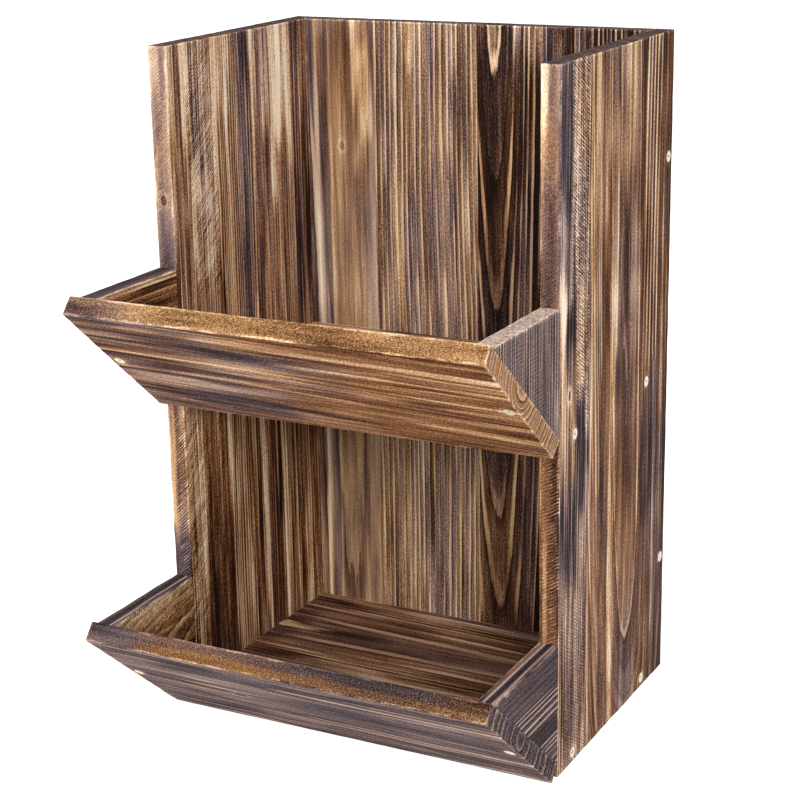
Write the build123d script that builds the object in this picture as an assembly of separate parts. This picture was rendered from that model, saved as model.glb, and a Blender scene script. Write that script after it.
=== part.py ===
from build123d import *
import os
from math import atan2, cos, degrees, sin

# Two-tier produce rack: two full-height sides, a back between them, two shelves and two slanted bins.
# Millimetres. +Z is up, the bins face -Y, and the origin is the middle of the footprint at floor level.

# Overall sizes
outer_width = 300.0
height = 476.0
side_depth = 200.0
tier_pitch = 228.0  # underside of the lower shelf to underside of the upper shelf

# Boards
side_thickness = 14.0
back_thickness = 14.0
shelf_thickness = 14.0
front_thickness = 14.0
front_width = 136.0  # across the slope

# Cheeks: right triangles that stand on the sides' front edges and carry the front boards
cheek_reach = 99.0  # length of the level top edge
cheek_height = 85.5

# Staves glued edge to edge into the wide boards; the last stave of each board takes up the rest
left_front_stave_width = 87.0
right_front_stave_width = 50.0
back_left_stave_width = 57.0
back_middle_stave_width = 85.0

# Countersunk wood screws with a cross recess
screw_length = 40.0
screw_diameter = 4.0
screw_head_diameter = 8.0
screw_head_rim = 0.5  # straight part above the cone
screw_tip_length = 6.0
screw_tip_flat = 0.8
recess_span = 4.4
recess_slot = 1.0
recess_depth = 1.8
screw_clearance = 0.1  # between a screw and its hole, all round

# Screw places
back_screw_heights = (90.0, 389.0)
shelf_screw_front_inset = 26.0  # from the side's front edge
shelf_screw_rear_inset = 43.0  # from the side's rear edge
front_screw_rise = 70.0  # up the slope from the front board's lower edge

# Dowels between each cheek and its side
dowel_diameter = 6.0
dowel_length = 24.0
dowel_clearance = 0.1  # all round
dowel_end_room = 1.0  # for glue, at each end of the hole
dowel_drops = (16.0, 52.0)  # below the cheek's top edge

# Slope of the bins, and the levels that follow from it
slope = atan2(cheek_height, cheek_reach)
overhang = front_thickness * sin(slope) + front_width * cos(slope)
vertex_rise = front_thickness * cos(slope)  # cheek's lower corner above its shelf's underside
screw_cone_depth = (screw_head_diameter - screw_diameter) / 2

# Main planes
rear_y = (side_depth + overhang) / 2
front_y = rear_y - side_depth  # front edges of the sides and shelves
back_y = rear_y - back_thickness  # face of the back towards the bins
half_width = outer_width / 2
half_inner = half_width - side_thickness
cheek_middle = half_width - side_thickness / 2

hands = {"left": -1, "right": 1}
tiers = {"upper": tier_pitch, "lower": 0.0}  # level of each shelf's underside


def board(x_limits, y_limits, z_limits):
    """Square-cut board between three pairs of limits."""
    limits = (x_limits, y_limits, z_limits)
    sizes = [abs(b - a) for a, b in limits]
    middle = [(a + b) / 2 for a, b in limits]
    return Pos(*middle) * Box(*sizes)


def slab(y_z_points, x_low, x_high):
    """Board whose outline is drawn in the side view."""
    face = Plane.YZ * make_face(Polyline(*y_z_points, close=True))
    return Pos(x_low, 0, 0) * extrude(face, x_high - x_low)


def turned(r_z_points):
    """Round piece about Z from its half outline."""
    return revolve(Plane.XZ * make_face(Polyline(*r_z_points, close=True)), Axis.Z)


def screw():
    """One screw, with its flat head at the origin facing +Z."""
    head = screw_head_diameter / 2
    shank = screw_diameter / 2
    body = turned([
        (0, 0),
        (head, 0),
        (head, -screw_head_rim),
        (shank, -screw_head_rim - screw_cone_depth),
        (shank, screw_tip_length - screw_length),
        (screw_tip_flat / 2, -screw_length),
        (0, -screw_length),
    ])
    cross = Box(recess_span, recess_slot, 2 * recess_depth)
    cross += Box(recess_slot, recess_span, 2 * recess_depth)
    return body - cross


def screw_hole():
    """Countersunk hole for one screw, open above the head."""
    head = screw_head_diameter / 2 + screw_clearance
    shank = screw_diameter / 2 + screw_clearance
    foot = -screw_length - screw_clearance
    return turned([
        (0, screw_clearance),
        (head, screw_clearance),
        (head, -screw_head_rim),
        (shank, -screw_head_rim - screw_cone_depth),
        (shank, foot),
        (0, foot),
    ])


def side_places(y_z_points):
    """Screw places on both sides' outer faces, tips pointing inwards."""
    return [
        Pos(hand * half_width, y, z) * Rotation(0, 90 * hand, 0)
        for hand in hands.values()
        for y, z in y_z_points
    ]


def front_places(level):
    """Screw places on a front board's outer face, over the middle of each cheek."""
    y = front_y - front_thickness * sin(slope) - front_screw_rise * cos(slope)
    z = level + front_screw_rise * sin(slope)
    tilt = Rotation(180 - degrees(slope), 0, 0)
    return [Pos(hand * cheek_middle, y, z) * tilt for hand in hands.values()]


def shelf_places(level):
    """Screw places along the middle of a shelf's two ends."""
    z = level + shelf_thickness / 2
    insets = (front_y + shelf_screw_front_inset, rear_y - shelf_screw_rear_inset)
    return side_places([(y, z) for y in insets])


def dowel_places(level):
    """Dowel middles, on the joint between the cheeks and the sides' front edges."""
    top = level + vertex_rise + cheek_height
    return [
        Pos(hand * cheek_middle, front_y, top - drop) * Rotation(90, 0, 0)
        for hand in hands.values()
        for drop in dowel_drops
    ]


def cheek(hand, level):
    """Triangular bin end, flush with both faces of the side."""
    foot = level + vertex_rise
    top = foot + cheek_height
    outline = [(front_y, foot), (front_y, top), (front_y - cheek_reach, top)]
    x_low, x_high = sorted((hand * half_inner, hand * half_width))
    return slab(outline, x_low, x_high)


def front_board(level):
    """Slanted bin front lying on the two cheeks, its lower outer edge level with the shelf's underside."""
    inner_foot = Vector(0, front_y, level + vertex_rise)
    up_slope = Vector(0, -cos(slope), sin(slope)) * front_width
    outward = Vector(0, -sin(slope), -cos(slope)) * front_thickness
    corners = [inner_foot, inner_foot + outward, inner_foot + outward + up_slope, inner_foot + up_slope]
    return slab([(corner.Y, corner.Z) for corner in corners], -half_width, half_width)


def drilled(piece, places, hole):
    """The piece with one hole at each place."""
    for place in places:
        piece = piece - place * hole
    return piece


# Fastener places
screw_places = {
    "back_screws": side_places([(rear_y - back_thickness / 2, z) for z in back_screw_heights]),
}
dowels = {}
for tier, level in tiers.items():
    screw_places[f"{tier}_shelf_screws"] = shelf_places(level)
    screw_places[f"{tier}_front_screws"] = front_places(level)
    dowels[f"{tier}_cheek_dowels"] = dowel_places(level)
all_screw_places = sum(screw_places.values(), [])
all_dowel_places = sum(dowels.values(), [])

one_screw = screw()
one_screw_hole = screw_hole()
one_dowel = Cylinder(dowel_diameter / 2, dowel_length)
one_dowel_hole = Cylinder(dowel_diameter / 2 + dowel_clearance, dowel_length + 2 * dowel_end_room)

# Boards before drilling
full_height = (0, height)
boards = {}
for name, hand, front_stave_width in (
    ("left", hands["left"], left_front_stave_width),
    ("right", hands["right"], right_front_stave_width),
):
    x_limits = (hand * half_inner, hand * half_width)
    seam_y = front_y + front_stave_width
    boards[f"{name}_side_front_stave"] = board(x_limits, (front_y, seam_y), full_height)
    boards[f"{name}_side_rear_stave"] = board(x_limits, (seam_y, rear_y), full_height)

back_limits = (back_y, rear_y)
left_seam_x = -half_inner + back_left_stave_width
right_seam_x = left_seam_x + back_middle_stave_width
boards["back_left_stave"] = board((-half_inner, left_seam_x), back_limits, full_height)
boards["back_middle_stave"] = board((left_seam_x, right_seam_x), back_limits, full_height)
boards["back_right_stave"] = board((right_seam_x, half_inner), back_limits, full_height)

shelf_x_limits = (-half_inner, half_inner)
shelf_y_limits = (front_y, back_y)
for tier, level in tiers.items():
    boards[f"{tier}_shelf"] = board(shelf_x_limits, shelf_y_limits, (level, level + shelf_thickness))
    boards[f"{tier}_front_board"] = front_board(level)
    for name, hand in hands.items():
        boards[f"{tier}_{name}_cheek"] = cheek(hand, level)

# Pieces, each written to its own file
pieces = {}
for name, piece in boards.items():
    piece = drilled(piece, all_screw_places, one_screw_hole)
    pieces[name] = drilled(piece, all_dowel_places, one_dowel_hole)
for name, places in screw_places.items():
    pieces[name] = Compound([place * one_screw for place in places])
for name, places in dowels.items():
    pieces[name] = Compound([place * one_dowel for place in places])

os.makedirs("parts", exist_ok=True)
for name, piece in pieces.items():
    export_step(piece, f"parts/{name}.step")
print(f"{len(pieces)} pieces, {outer_width:.0f} x {side_depth + overhang:.1f} x {height:.0f} mm")
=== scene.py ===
import bpy
import numpy as np
from itertools import permutations
from math import atan2, cos, degrees, hypot, pi, radians, sin
from mathutils import Euler, Matrix, Vector


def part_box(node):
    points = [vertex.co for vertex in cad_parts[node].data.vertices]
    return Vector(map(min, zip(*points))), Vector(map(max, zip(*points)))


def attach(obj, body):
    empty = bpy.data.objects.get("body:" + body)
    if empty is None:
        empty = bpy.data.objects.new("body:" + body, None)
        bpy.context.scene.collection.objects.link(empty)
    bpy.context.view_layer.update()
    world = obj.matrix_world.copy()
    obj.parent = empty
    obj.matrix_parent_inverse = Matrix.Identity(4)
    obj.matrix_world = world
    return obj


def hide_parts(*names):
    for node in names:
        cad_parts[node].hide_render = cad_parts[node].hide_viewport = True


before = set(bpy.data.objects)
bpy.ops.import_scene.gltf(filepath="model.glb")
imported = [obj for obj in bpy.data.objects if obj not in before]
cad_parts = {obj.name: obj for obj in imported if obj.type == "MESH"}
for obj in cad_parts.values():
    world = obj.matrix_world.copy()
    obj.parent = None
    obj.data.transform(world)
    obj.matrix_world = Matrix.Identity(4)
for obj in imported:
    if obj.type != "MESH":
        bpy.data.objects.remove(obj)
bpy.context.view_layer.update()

mm = 0.001


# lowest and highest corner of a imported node, in millimetres
def nodeBox(node):
    low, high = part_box(node)
    return np.array(low) / mm, np.array(high) / mm


sideLow, sideHigh = nodeBox("right_side_front_stave")
cheekLow, cheekHigh = nodeBox("upper_right_cheek")
frontY = sideLow[1]
halfWidth = sideHigh[0]
boardThickness = sideHigh[0] - sideLow[0]
cheekReach = cheekHigh[1] - cheekLow[1]
cheekHeight = cheekHigh[2] - cheekLow[2]
slope = atan2(cheekHeight, cheekReach)
print("frame read: slope %.2f degrees, boards %.1f mm" % (degrees(slope), boardThickness))


# name of a piece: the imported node's own, in one word
def pieceName(node):
    first, *others = node.split("_")
    return first + "".join(word.capitalize() for word in others)


def newObject(name, data):
    made = bpy.data.objects.new(name, data)
    bpy.context.scene.collection.objects.link(made)
    return made


# a mesh's points in millimetres
def meshPoints(mesh):
    points = np.zeros(3 * len(mesh.vertices))
    mesh.vertices.foreach_get("co", points)
    return points.reshape(-1, 3) / mm


# numbers or vectors kept on the mesh for its finish to read
def keepField(mesh, name, values):
    values = np.asarray(values, float)
    kind, part = ("FLOAT", "value") if values.ndim == 1 else ("FLOAT_VECTOR", "vector")
    mesh.attributes.new(name, kind, "POINT").data.foreach_set(part, values.ravel())


# quads of a grid whose points are numbered by index
def gridLoops(index):
    return np.stack([index[:-1, :-1], index[1:, :-1], index[1:, 1:], index[:-1, 1:]], -1).reshape(-1, 4)


def boxMiddle(points):
    return (points.min(0) + points.max(0)) / 2


def handOver(piece, node):
    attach(piece, "root")
    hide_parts(node)


# one socket of a finish, with Python's own operators
class Wire:
    def __init__(self, tree, socket=None):
        self.tree = tree
        self.socket = socket

    def node(self, kind, settings=None, sockets=None, out=0):
        made = self.tree.nodes.new(kind)
        for key, value in (settings or {}).items():
            if key == "stops":
                ramp = made.color_ramp.elements
                while len(ramp) < len(value):
                    ramp.new(1)
                for stop, (place, colour) in zip(ramp, value):
                    stop.position = place
                    stop.color = colour
            else:
                setattr(made, key, value)
        for key, value in (sockets or {}).items():
            if isinstance(value, Wire):
                self.tree.links.new(value.socket, made.inputs[key])
            else:
                made.inputs[key].default_value = value
        return Wire(self.tree, made.outputs[out] if made.outputs else None)

    def read(self, field, out=2):  # a field kept on the mesh
        return self.node("ShaderNodeAttribute", {"attribute_name": field}, out=out)

    def parts(self):
        return [self.node("ShaderNodeSeparateXYZ", None, {0: self}, out=k) for k in range(3)]

    def done(self, shader):
        self.node("ShaderNodeOutputMaterial", None, {"Surface": shader})
        return self.material

    def math(self, operation, *others):
        return self.node("ShaderNodeMath", {"operation": operation}, dict(enumerate((self, *others))))

    def scaled(self, x, y, z):
        return self.node("ShaderNodeVectorMath", {"operation": "MULTIPLY"}, {0: self, 1: (x, y, z)})

    def band(self, low, high, start=0.0, end=1.0):
        sockets = {"Value": self, "From Min": low, "From Max": high, "To Min": start, "To Max": end}
        return self.node("ShaderNodeMapRange", {"interpolation_type": "SMOOTHSTEP"}, sockets)

    def noise(self, detail=2.0, roughness=0.5):
        sockets = {"Vector": self, "Scale": 1.0, "Detail": detail, "Roughness": roughness}
        return self.node("ShaderNodeTexNoise", {"noise_dimensions": "3D"}, sockets)

    def length(self):
        return self.node("ShaderNodeVectorMath", {"operation": "LENGTH"}, {0: self}, out=1)

    def clipped(self):
        return self.math("MAXIMUM", 0.0).math("MINIMUM", 1.0)

    def blend(self, low, high):
        return self.node("ShaderNodeMix", {"data_type": "RGBA"}, {0: self, 6: low, 7: high}, out=2)

    def __add__(self, other):
        return self.math("ADD", other)

    def __mul__(self, other):
        return self.math("MULTIPLY", other)

    def __sub__(self, other):
        return self.math("SUBTRACT", other)

    def __rsub__(self, other):
        return self.math("MULTIPLY_ADD", -1.0, other)

    __radd__ = __add__
    __rmul__ = __mul__


def freshFinish(name):
    material = bpy.data.materials.new(name)
    material.use_nodes = True
    material.node_tree.nodes.clear()
    start = Wire(material.node_tree)
    start.material = material
    return start


# a colour written as it is seen, 0 to 255
def shade(*levels):
    levels = [level / 255 for level in levels]
    return (*[v / 12.92 if v <= 0.04045 else ((v + 0.055) / 1.055) ** 2.4 for v in levels], 1.0)


# smooth seeded noise on points in millimetres, mostly between -1 and 1
def drift(points, lengths, seed, waves=16):
    rng = np.random.default_rng(seed)
    turns = 2.2 * rng.normal(size=(waves, 3)) / np.array(lengths)
    starts = rng.uniform(0, 2 * pi, waves)
    return np.sin(points @ turns.T + starts).sum(1) / waves ** 0.5


def smooth(low, high, value):
    part = np.clip((value - low) / (high - low), 0, 1)
    return part * part * (3 - 2 * part)


def soft(low, high, fade, value):  # 1 between low and high, with faded ends
    return smooth(low - fade, low + fade, value) * (1 - smooth(high - fade, high + fade, value))


charStops = (0.00, 0.14, 0.32, 0.50, 0.66, 0.82, 1.00)  # bare wood to charcoal


def charRamp(*colours):
    return [(stop, shade(*colour)) for stop, colour in zip(charStops, colours)]


goldChar = charRamp(
    (252, 236, 212), (235, 205, 168), (198, 154, 112), (152, 106, 71),
    (110, 68, 40), (68, 38, 20), (25, 12, 6),
)
strawChar = charRamp(
    (250, 238, 206), (232, 208, 160), (194, 158, 106), (150, 113, 68),
    (107, 76, 43), (66, 43, 23), (24, 14, 8),
)
violetChar = charRamp(
    (244, 226, 212), (219, 194, 178), (178, 151, 138), (133, 111, 107),
    (94, 77, 79), (60, 49, 54), (23, 17, 18),
)


# noises of the wood: waves per millimetre along, across and deep, then detail and roughness
woodNoise = {
    "waver": (0.010, 0.10, 0.10, 2, 0.5), "jitter": (0.035, 0.8, 0.8, 2, 0.5),
    "fibre": (0.016, 0.62, 0.62, 4, 0.70), "fine": (0.09, 5.0, 5.0, 2, 0.6),
    "speck": (0.65, 0.95, 0.95, 2, 0.8), "grit": (1.0, 1.7, 1.7, 2, 0.8),
    "cloud": (0.007, 0.03, 0.05, 2, 0.5), "sweep": (0.006, 0.13, 0.10, 2, 0.5),
    "bite": (0.06, 0.35, 0.35, 2, 0.5), "pores": (0.30, 0.55, 0.55, 4, 0.75),
    "rag": (0.06, 0.28, 0.28, 3, 0.65),
}


# softwood, torched and then brushed along the grain
def torchedWood(name, look):
    start = freshFinish(name)
    place = start.read("grain", 1)
    along, across, deep = place.parts()
    fields = ("burn", "edge", "end", "flank", "sawn", "lines", "mauve")
    burn, edge, endGrain, flank, sawn, lines, mauve = [start.read(field) for field in fields]

    def noise(kind):
        *scale, detail, roughness = woodNoise[kind]
        return place.scaled(*scale).noise(detail, roughness)

    # growth rings: a number for each ring and the place within it
    waver, jitter = [noise(kind) - 0.5 for kind in ("waver", "jitter")]
    phase = start.read("ring") + waver * look["waver"] + jitter * 0.20
    ringNumber = phase.math("FLOOR")
    part = phase - ringNumber

    def ringNoise(step, pace, salt, detail=1.0):  # one number for each ring, drifting along its length
        spot = {0: ringNumber * step + salt, 1: along * pace, 2: deep * 0.05 + look["seed"]}
        return (start.node("ShaderNodeCombineXYZ", None, spot).noise(detail) - 0.5) * 3.0

    charred = ringNoise(0.31, 0.0075, 3.1, 2.0).band(0.0, 0.62)
    bleached = ringNoise(0.47, 0.0060, 29.4, 2.0).band(0.05, 0.66)
    ringTone = ringNoise(3.71, 0.005, 17.3, 2.0)
    lineTone = (ringNoise(5.13, 0.009, 41.7).band(-0.45, 0.45) + lines).clipped()
    reed = (0.14 + lineTone * 0.13) * phase.band(-0.05, 0.0, 0.35, 1.0)  # narrow in a tongue
    crest = part.band(1 - reed * 1.7, 1 - reed) * (1 - part.band(0.95, 1.0))
    ridge = crest * lineTone
    groove = 1 - part.band(0.0, 0.30)

    # fibres, specks and scorch clouds
    kinds = ("fibre", "fine", "speck", "cloud", "sweep", "grit")
    fibre, fine, speck, cloud, sweep, grit = [noise(kind) - 0.5 for kind in kinds]
    grit = grit.math("MINIMUM", 0.06)  # pale flecks, few dark

    # saw marks: slanting strokes of uneven weight
    level = across + deep
    stroke = along + level * look["sawSlant"]
    scratch = {0: stroke * 0.62, 1: level * 0.10 - along * 0.05, 2: look["seed"]}
    scratch = start.node("ShaderNodeCombineXYZ", None, scratch).noise(2, 0.7) - 0.5
    wave = (stroke * look["sawPitch"] + fibre * 4.0 + cloud * 14.0).math("SINE")
    tooth = (scratch * 3.4 + wave * 0.45) * noise("bite").band(0.28, 0.60) * sawn

    calm = 1 - flank * 0.8
    rings = charred * look["char"] - bleached * look["bleach"] + ringTone * look["ringSpread"]
    scorch = burn + (rings + groove * look["groove"]) * calm + cloud * look["cloudSpread"]
    scorch = scorch + fibre * look["fibreSpread"] * calm + fine * 0.14 + sweep * look["sweep"]
    scorch = scorch + speck * look["speck"] * (1 - flank * 0.5) + grit * flank * look["edgeGrit"]
    face = scorch * (1 - ridge * calm * look["ridge"]) + tooth * look["tooth"]

    # knots: a dark heart and rim, with paler wood outside
    for knot in look["knots"]:
        spot, scale = knotShape(knot)
        away = start.node("ShaderNodeVectorMath", {"operation": "SUBTRACT"}, {0: place, 1: spot})
        away = away.scaled(*scale).length() + speck * 0.6
        heart = 1 - away.band(0.2, 0.6)
        rim = away.band(0.6, 0.9) * (1 - away.band(1.0, 1.4))
        halo = away.band(1.1, 1.6) * (1 - away.band(2.0, 3.6))
        face = face + (heart * 0.30 + rim * 0.42 - halo * 0.18) * knot[4]

    # end grain: the same rings, speckled with pores
    pores = noise("pores") - 0.5
    ends = look["endBurn"] + pores * look["pores"] + cloud * 0.2
    ends = ends + groove * look["endRings"] - crest * look["endLines"]
    value = face + (ends - face) * endGrain

    # worn arrises, broken up along their length
    rag = noise("rag")
    worn = 1 - edge.band(0.0, 0.30) * edge.band(rag * 3.2 - 1.1, rag * 4.6 - 0.7)
    value = value - worn * look["wear"] * rag.band(0.36, 0.64)
    # darker at the foot of the board: charred arris and painted contact shadow
    foot = (1 - along.band(0.2, 1.7)) * (1 - endGrain)
    value = (value + foot * look["foot"]).clipped()

    gold = start.node("ShaderNodeValToRGB", {"stops": goldChar}, {0: value})
    straw = start.node("ShaderNodeValToRGB", {"stops": strawChar}, {0: value})
    gold = (look["straw"] + flank * look["edgeStraw"]).clipped().blend(gold, straw)
    violet = start.node("ShaderNodeValToRGB", {"stops": violetChar}, {0: value})
    hue = look["violet"] + mauve + ringNoise(2.17, 0.004, 55.0) * 0.6 * calm + cloud * 0.8 + speck * 0.5
    hue = hue + (burn - 0.55) * 0.6 + sweep * 0.7 - value.band(0.56, 0.92) * 0.38
    hue = hue - ridge * 0.35 + flank * look["flankViolet"] + endGrain * look["endViolet"]
    colour = hue.clipped().blend(gold, violet)

    roughness = 0.60 + value * 0.22 + fine * 0.3
    height = ridge * 0.6 - groove * 0.3 + fibre * 0.8 + fine * 0.45 + tooth * 0.5 + pores * endGrain
    bump = start.node("ShaderNodeBump", None, {"Strength": 0.55, "Distance": 0.0006, "Height": height})
    wood = {"Base Color": colour, "Roughness": roughness, "Specular IOR Level": 0.10, "Normal": bump}
    return start.done(start.node("ShaderNodeBsdfPrincipled", None, wood))


# a knot's stretch along the grain, and how far and how much the rings bend round it, in knot sizes
knotStretch, knotReach, knotBend = 1.6, 1.6, 1.1


# centre and scale of a knot, which is along, across, deep, size and weight;
# its branch runs the way given as None
def knotShape(knot):
    *spot, size, _ = knot
    scale = [0.0 if place is None else 1 / size for place in spot]
    scale[0] /= knotStretch
    return [place or 0.0 for place in spot], scale


# a board's own points, with across counted from a line that follows slanting grain
def grainPlace(board, points):
    along, across, deep = points.T
    return np.stack([along, across - board.get("slant", 0.0) * along, deep], 1)


# how the rings wander, in millimetres: by how much, and over what lengths along, across and deep
ringWander = {"wide": (2.2, (420, 70, 70)), "short": (0.5, (110, 25, 40)), "deep": (0.5, (380, 90, 90))}


# growth-ring count at points in a board's own millimetres: along, across and deep
def ringField(board, points):
    points = grainPlace(board, points)
    along, across, deep = points.T
    pithAcross, pithDeep = board["pith"]
    leanAcross, leanDeep = board.get("lean", (0.0, 0.0))
    bow, bowLength = board.get("bow", (0.0, 1.0))  # the pith bends away from the outer face near the foot
    wander = {}
    for step, (kind, (amount, lengths)) in enumerate(ringWander.items()):
        wander[kind] = amount * drift(points, lengths, board["seed"] + step)
    across = across + wander["wide"] + wander["short"]
    deep = deep + wander["deep"]
    pithDeep = pithDeep + leanDeep * along + bow * np.exp(-along / bowLength)
    radius = np.hypot(across - pithAcross - leanAcross * along, deep - pithDeep)
    for knot in board.get("knots", []):
        spot, scale = knotShape(knot)
        away = (((points - np.array(spot)) * np.array(scale) / knotReach) ** 2).sum(1)
        radius = radius + knotBend * knot[3] * np.exp(-away)
    return ringCount(board, radius) - ringCount(board, board.get("tongue", 0.0))


# rings from the pith out to a radius; the first ones are wider, and no two are quite alike
def ringCount(board, radius):
    tongue, seed, uneven = board.get("tongue", 0.0), board["seed"], board.get("uneven", 1.0)
    radius = np.where(radius > tongue, radius, tongue + (radius - tongue) / 3)
    swell = 0.8 * np.sin(radius / 2.9 + seed) + 1.1 * np.sin(radius / 6.1 + 2 * seed)
    return (radius + uneven * swell) / board["ringWidth"]


arrisLines = np.array([0.25, 0.6, 1.1, 1.8])  # grid lines beside each arris
alongStep, acrossStep, deepStep = 4.0, 1.25, 1.6


def stations(length, step):
    margin = arrisLines[-1] + step / 3
    lines = np.linspace(0, length, round(length / step) + 1)
    lines = lines[(lines > margin) & (lines < length - margin)]
    return np.concatenate(([0], arrisLines, lines, length - arrisLines[::-1], [length])) / length


# the flat sides of a board by name, each as a point and the normal into the wood
def boardSides(board):
    startLow, startHigh, endLow, endHigh = board["outline"]
    middle = board["outline"].mean(0)
    sides = {"first": ((0, 0, 0), (0, 0, 1)), "last": ((0, 0, boardThickness), (0, 0, -1))}
    edges = {
        "low": (startLow, endLow), "high": (startHigh, endHigh),
        "start": (startLow, startHigh), "end": (endLow, endHigh),
    }
    for name, (a, b) in edges.items():
        length = np.linalg.norm(b - a)
        if length > 1e-6:
            normal = np.array([a[1] - b[1], b[0] - a[0]]) / length
            if normal @ (middle - a) < 0:
                normal = -normal
            sides[name] = (*a, 0), (*normal, 0)
    return {name: np.array(side) for name, side in sides.items()}


def sideDistances(board, points):
    return np.stack([(points - point) @ normal for point, normal in boardSides(board).values()], 1)


# closed grid over a board's sides, in its own millimetres
def boardGrid(board):
    corners = board["outline"]
    lengths = [hypot(*(corners[b] - corners[a])) for a, b in ((0, 2), (1, 3), (0, 1), (2, 3))]
    alongLines = stations(max(lengths[:2]), alongStep)
    acrossLines = stations(max(lengths[2:]), acrossStep)
    deepLines = stations(boardThickness, deepStep)
    column, row = alongLines[:, None], acrossLines[:, None]
    sheets = [
        (column, acrossLines[None], 0.0), (column, acrossLines[None], 1.0),
        (column, 0.0, deepLines[None]), (column, 1.0, deepLines[None]),
        (0.0, row, deepLines[None]), (1.0, row, deepLines[None]),
    ]
    points, quads, count = [], [], 0
    for q, s, d in sheets:
        q, s, d = np.broadcast_arrays(q, s, d)
        weights = np.stack([(1 - q) * (1 - s), (1 - q) * s, q * (1 - s), q * s], -1)
        sheet = np.concatenate([weights @ corners, boardThickness * d[..., None]], -1)
        index = np.arange(q.size).reshape(q.shape) + count
        loops = gridLoops(index)
        sheet = sheet.reshape(-1, 3)
        spread = sheet[loops - count]
        normal = np.cross(spread[:, 2] - spread[:, 0], spread[:, 3] - spread[:, 1]).sum(0)
        middle = np.array([*corners.mean(0), boardThickness / 2])
        if normal @ (sheet.mean(0) - middle) < 0:
            loops = loops[:, ::-1]
        points.append(sheet)
        quads.append(loops)
        count += len(sheet)
    points, back = np.unique(np.round(np.concatenate(points), 4), axis=0, return_inverse=True)
    faces = []
    for loop in back.reshape(-1)[np.concatenate(quads)].tolist():
        loop = [v for k, v in enumerate(loop) if v != loop[k - 1]]
        if len(loop) > 2:
            faces.append(loop)
    return points, faces


# rounding of the arrises, where free, against a board or glued, and raised grain, in millimetres
weather = {
    "free": 0.9, "fitted": 0.3, "glued": 0.12, "limits": (0.02, 1.9),
    "wander": 0.35, "wanderLengths": (14, 9, 9), "chip": 0.5, "chipLengths": (22, 8, 8),
    "ring": 0.11, "crest": 0.9, "fibre": 0.05, "fibreLengths": (30, 3, 3),
}
onSide = 1e-4  # nearer than this, a point lies on a side


def easeOf(board, side):
    if side in board.get("glued", []):
        return weather["glued"]
    return weather["fitted" if side in board.get("fitted", []) else "free"]


# rounds the arrises unevenly, as torching and brushing leave them, and raises the grain a little
def weathered(board, points):
    seed = board["seed"]
    sides = boardSides(board)
    normals = [normal for _, normal in sides.values()]
    softness = [easeOf(board, name) for name in sides]
    reach = sideDistances(board, points)
    own = reach < onSide
    chips = 1 + weather["wander"] * drift(points, weather["wanderLengths"], seed + 5)
    chips = chips + weather["chip"] * smooth(0.5, 1.3, drift(points, weather["chipLengths"], seed + 6))
    moved = points.copy()
    for i, j in permutations(range(len(sides)), 2):
        radius = np.clip(min(softness[i], softness[j]) * chips, *weather["limits"])
        near = own[:, i] & ~own[:, j] & (reach[:, j] < radius)
        turn = pi / 4 * (1 - reach[near, j] / radius[near])
        sink = radius[near] * (1 - np.cos(turn))
        slide = radius[near] * (1 - np.sin(turn)) - reach[near, j]
        moved[near] += sink[:, None] * normals[i] + slide[:, None] * normals[j]
        arris = own[:, i] & own[:, j]
        moved[arris] += (radius[arris] * (1 - cos(pi / 4)))[:, None] * normals[i]
    phase = ringField(board, points) - weather["crest"]
    relief = weather["ring"] * (1 + np.cos(2 * pi * phase))
    relief = relief + weather["fibre"] * drift(points, weather["fibreLengths"], seed + 7)
    for i, name in enumerate(sides):
        others = np.delete(reach, i, 1).min(1)
        flat = own[:, i] & (others > onSide)
        if name not in board.get("glued", []):
            moved[flat] += (relief * smooth(0, 3, others))[flat, None] * normals[i]
    return moved


built = []
farAway = 50.0
arrisReach = 30  # the finish knows the distance from an arris up to here
bandMauve = 1.6  # violet in the bands of the other face
facing = 0.25, 0.85  # how squarely a point has to lie on an end or an edge
boardFold, fastenerFold = radians(38), radians(30)  # sharper folds stay sharp


def finishBoard(board, corner, axes, outline):
    name = pieceName(board["node"])
    corner, axes = np.array(corner), np.array(axes)
    board.update(corner=corner, axes=axes, outline=np.array(outline))
    points, faces = boardGrid(board)
    world = corner + weathered(board, points) @ axes
    if np.linalg.det(axes) < 0:
        faces = [loop[::-1] for loop in faces]
    mesh = bpy.data.meshes.new(name)
    mesh.from_pydata((world * mm).tolist(), [], faces)
    piece = newObject(name, mesh)
    holes = holesFor(board)
    if holes:
        drill(piece, holes)
    mesh = piece.data

    place = (meshPoints(mesh) - corner) @ axes.T
    reach = sideDistances(board, place)
    sides = boardSides(board)
    normals = np.array([normal for _, normal in sides.values()])[reach.argmin(1)]
    glued = np.array([side in board.get("glued", []) for side in sides])
    toArris = np.sort(reach + farAway * glued, 1)[:, 1]  # a glued side has no arris
    bands = facePatches(otherBands(board), board, place, True)
    fields = {
        "grain": grainPlace(board, place),
        "ring": ringField(board, place),
        "edge": np.clip(toArris, 0, arrisReach),
        "end": smooth(*facing, np.abs(normals[:, 0])),
        "flank": smooth(*facing, np.abs(normals[:, 1])),
        "burn": burnField(board, place) + bands,
        "sawn": np.clip(patched("sawn", board, place), 0, 1),
        "lines": lineField(board, place),
        "mauve": patched("mauve", board, place) + bandMauve * bands,
    }
    for field, values in fields.items():
        keepField(mesh, field, values)
    mesh.shade_smooth()
    mesh.set_sharp_from_angle(angle=boardFold)
    mesh.materials.clear()
    look = {**plainLook, **board.get("look", {})}
    look.update(seed=board["seed"] * 1.37, knots=board.get("knots", []))
    mesh.materials.append(torchedWood(name + "Finish", look))
    handOver(piece, board["node"])
    built.append(piece)


# how much brighter the ring lines are drawn
def lineField(board, place):
    lines = board.get("allLines", 0.0) + facePatches(board.get("lines", []), board, place)
    if "tongue" in board:
        lines = lines + 1.4 * soft(-1.05, 0.05, 0.05, ringField(board, place))
    return lines


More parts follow.
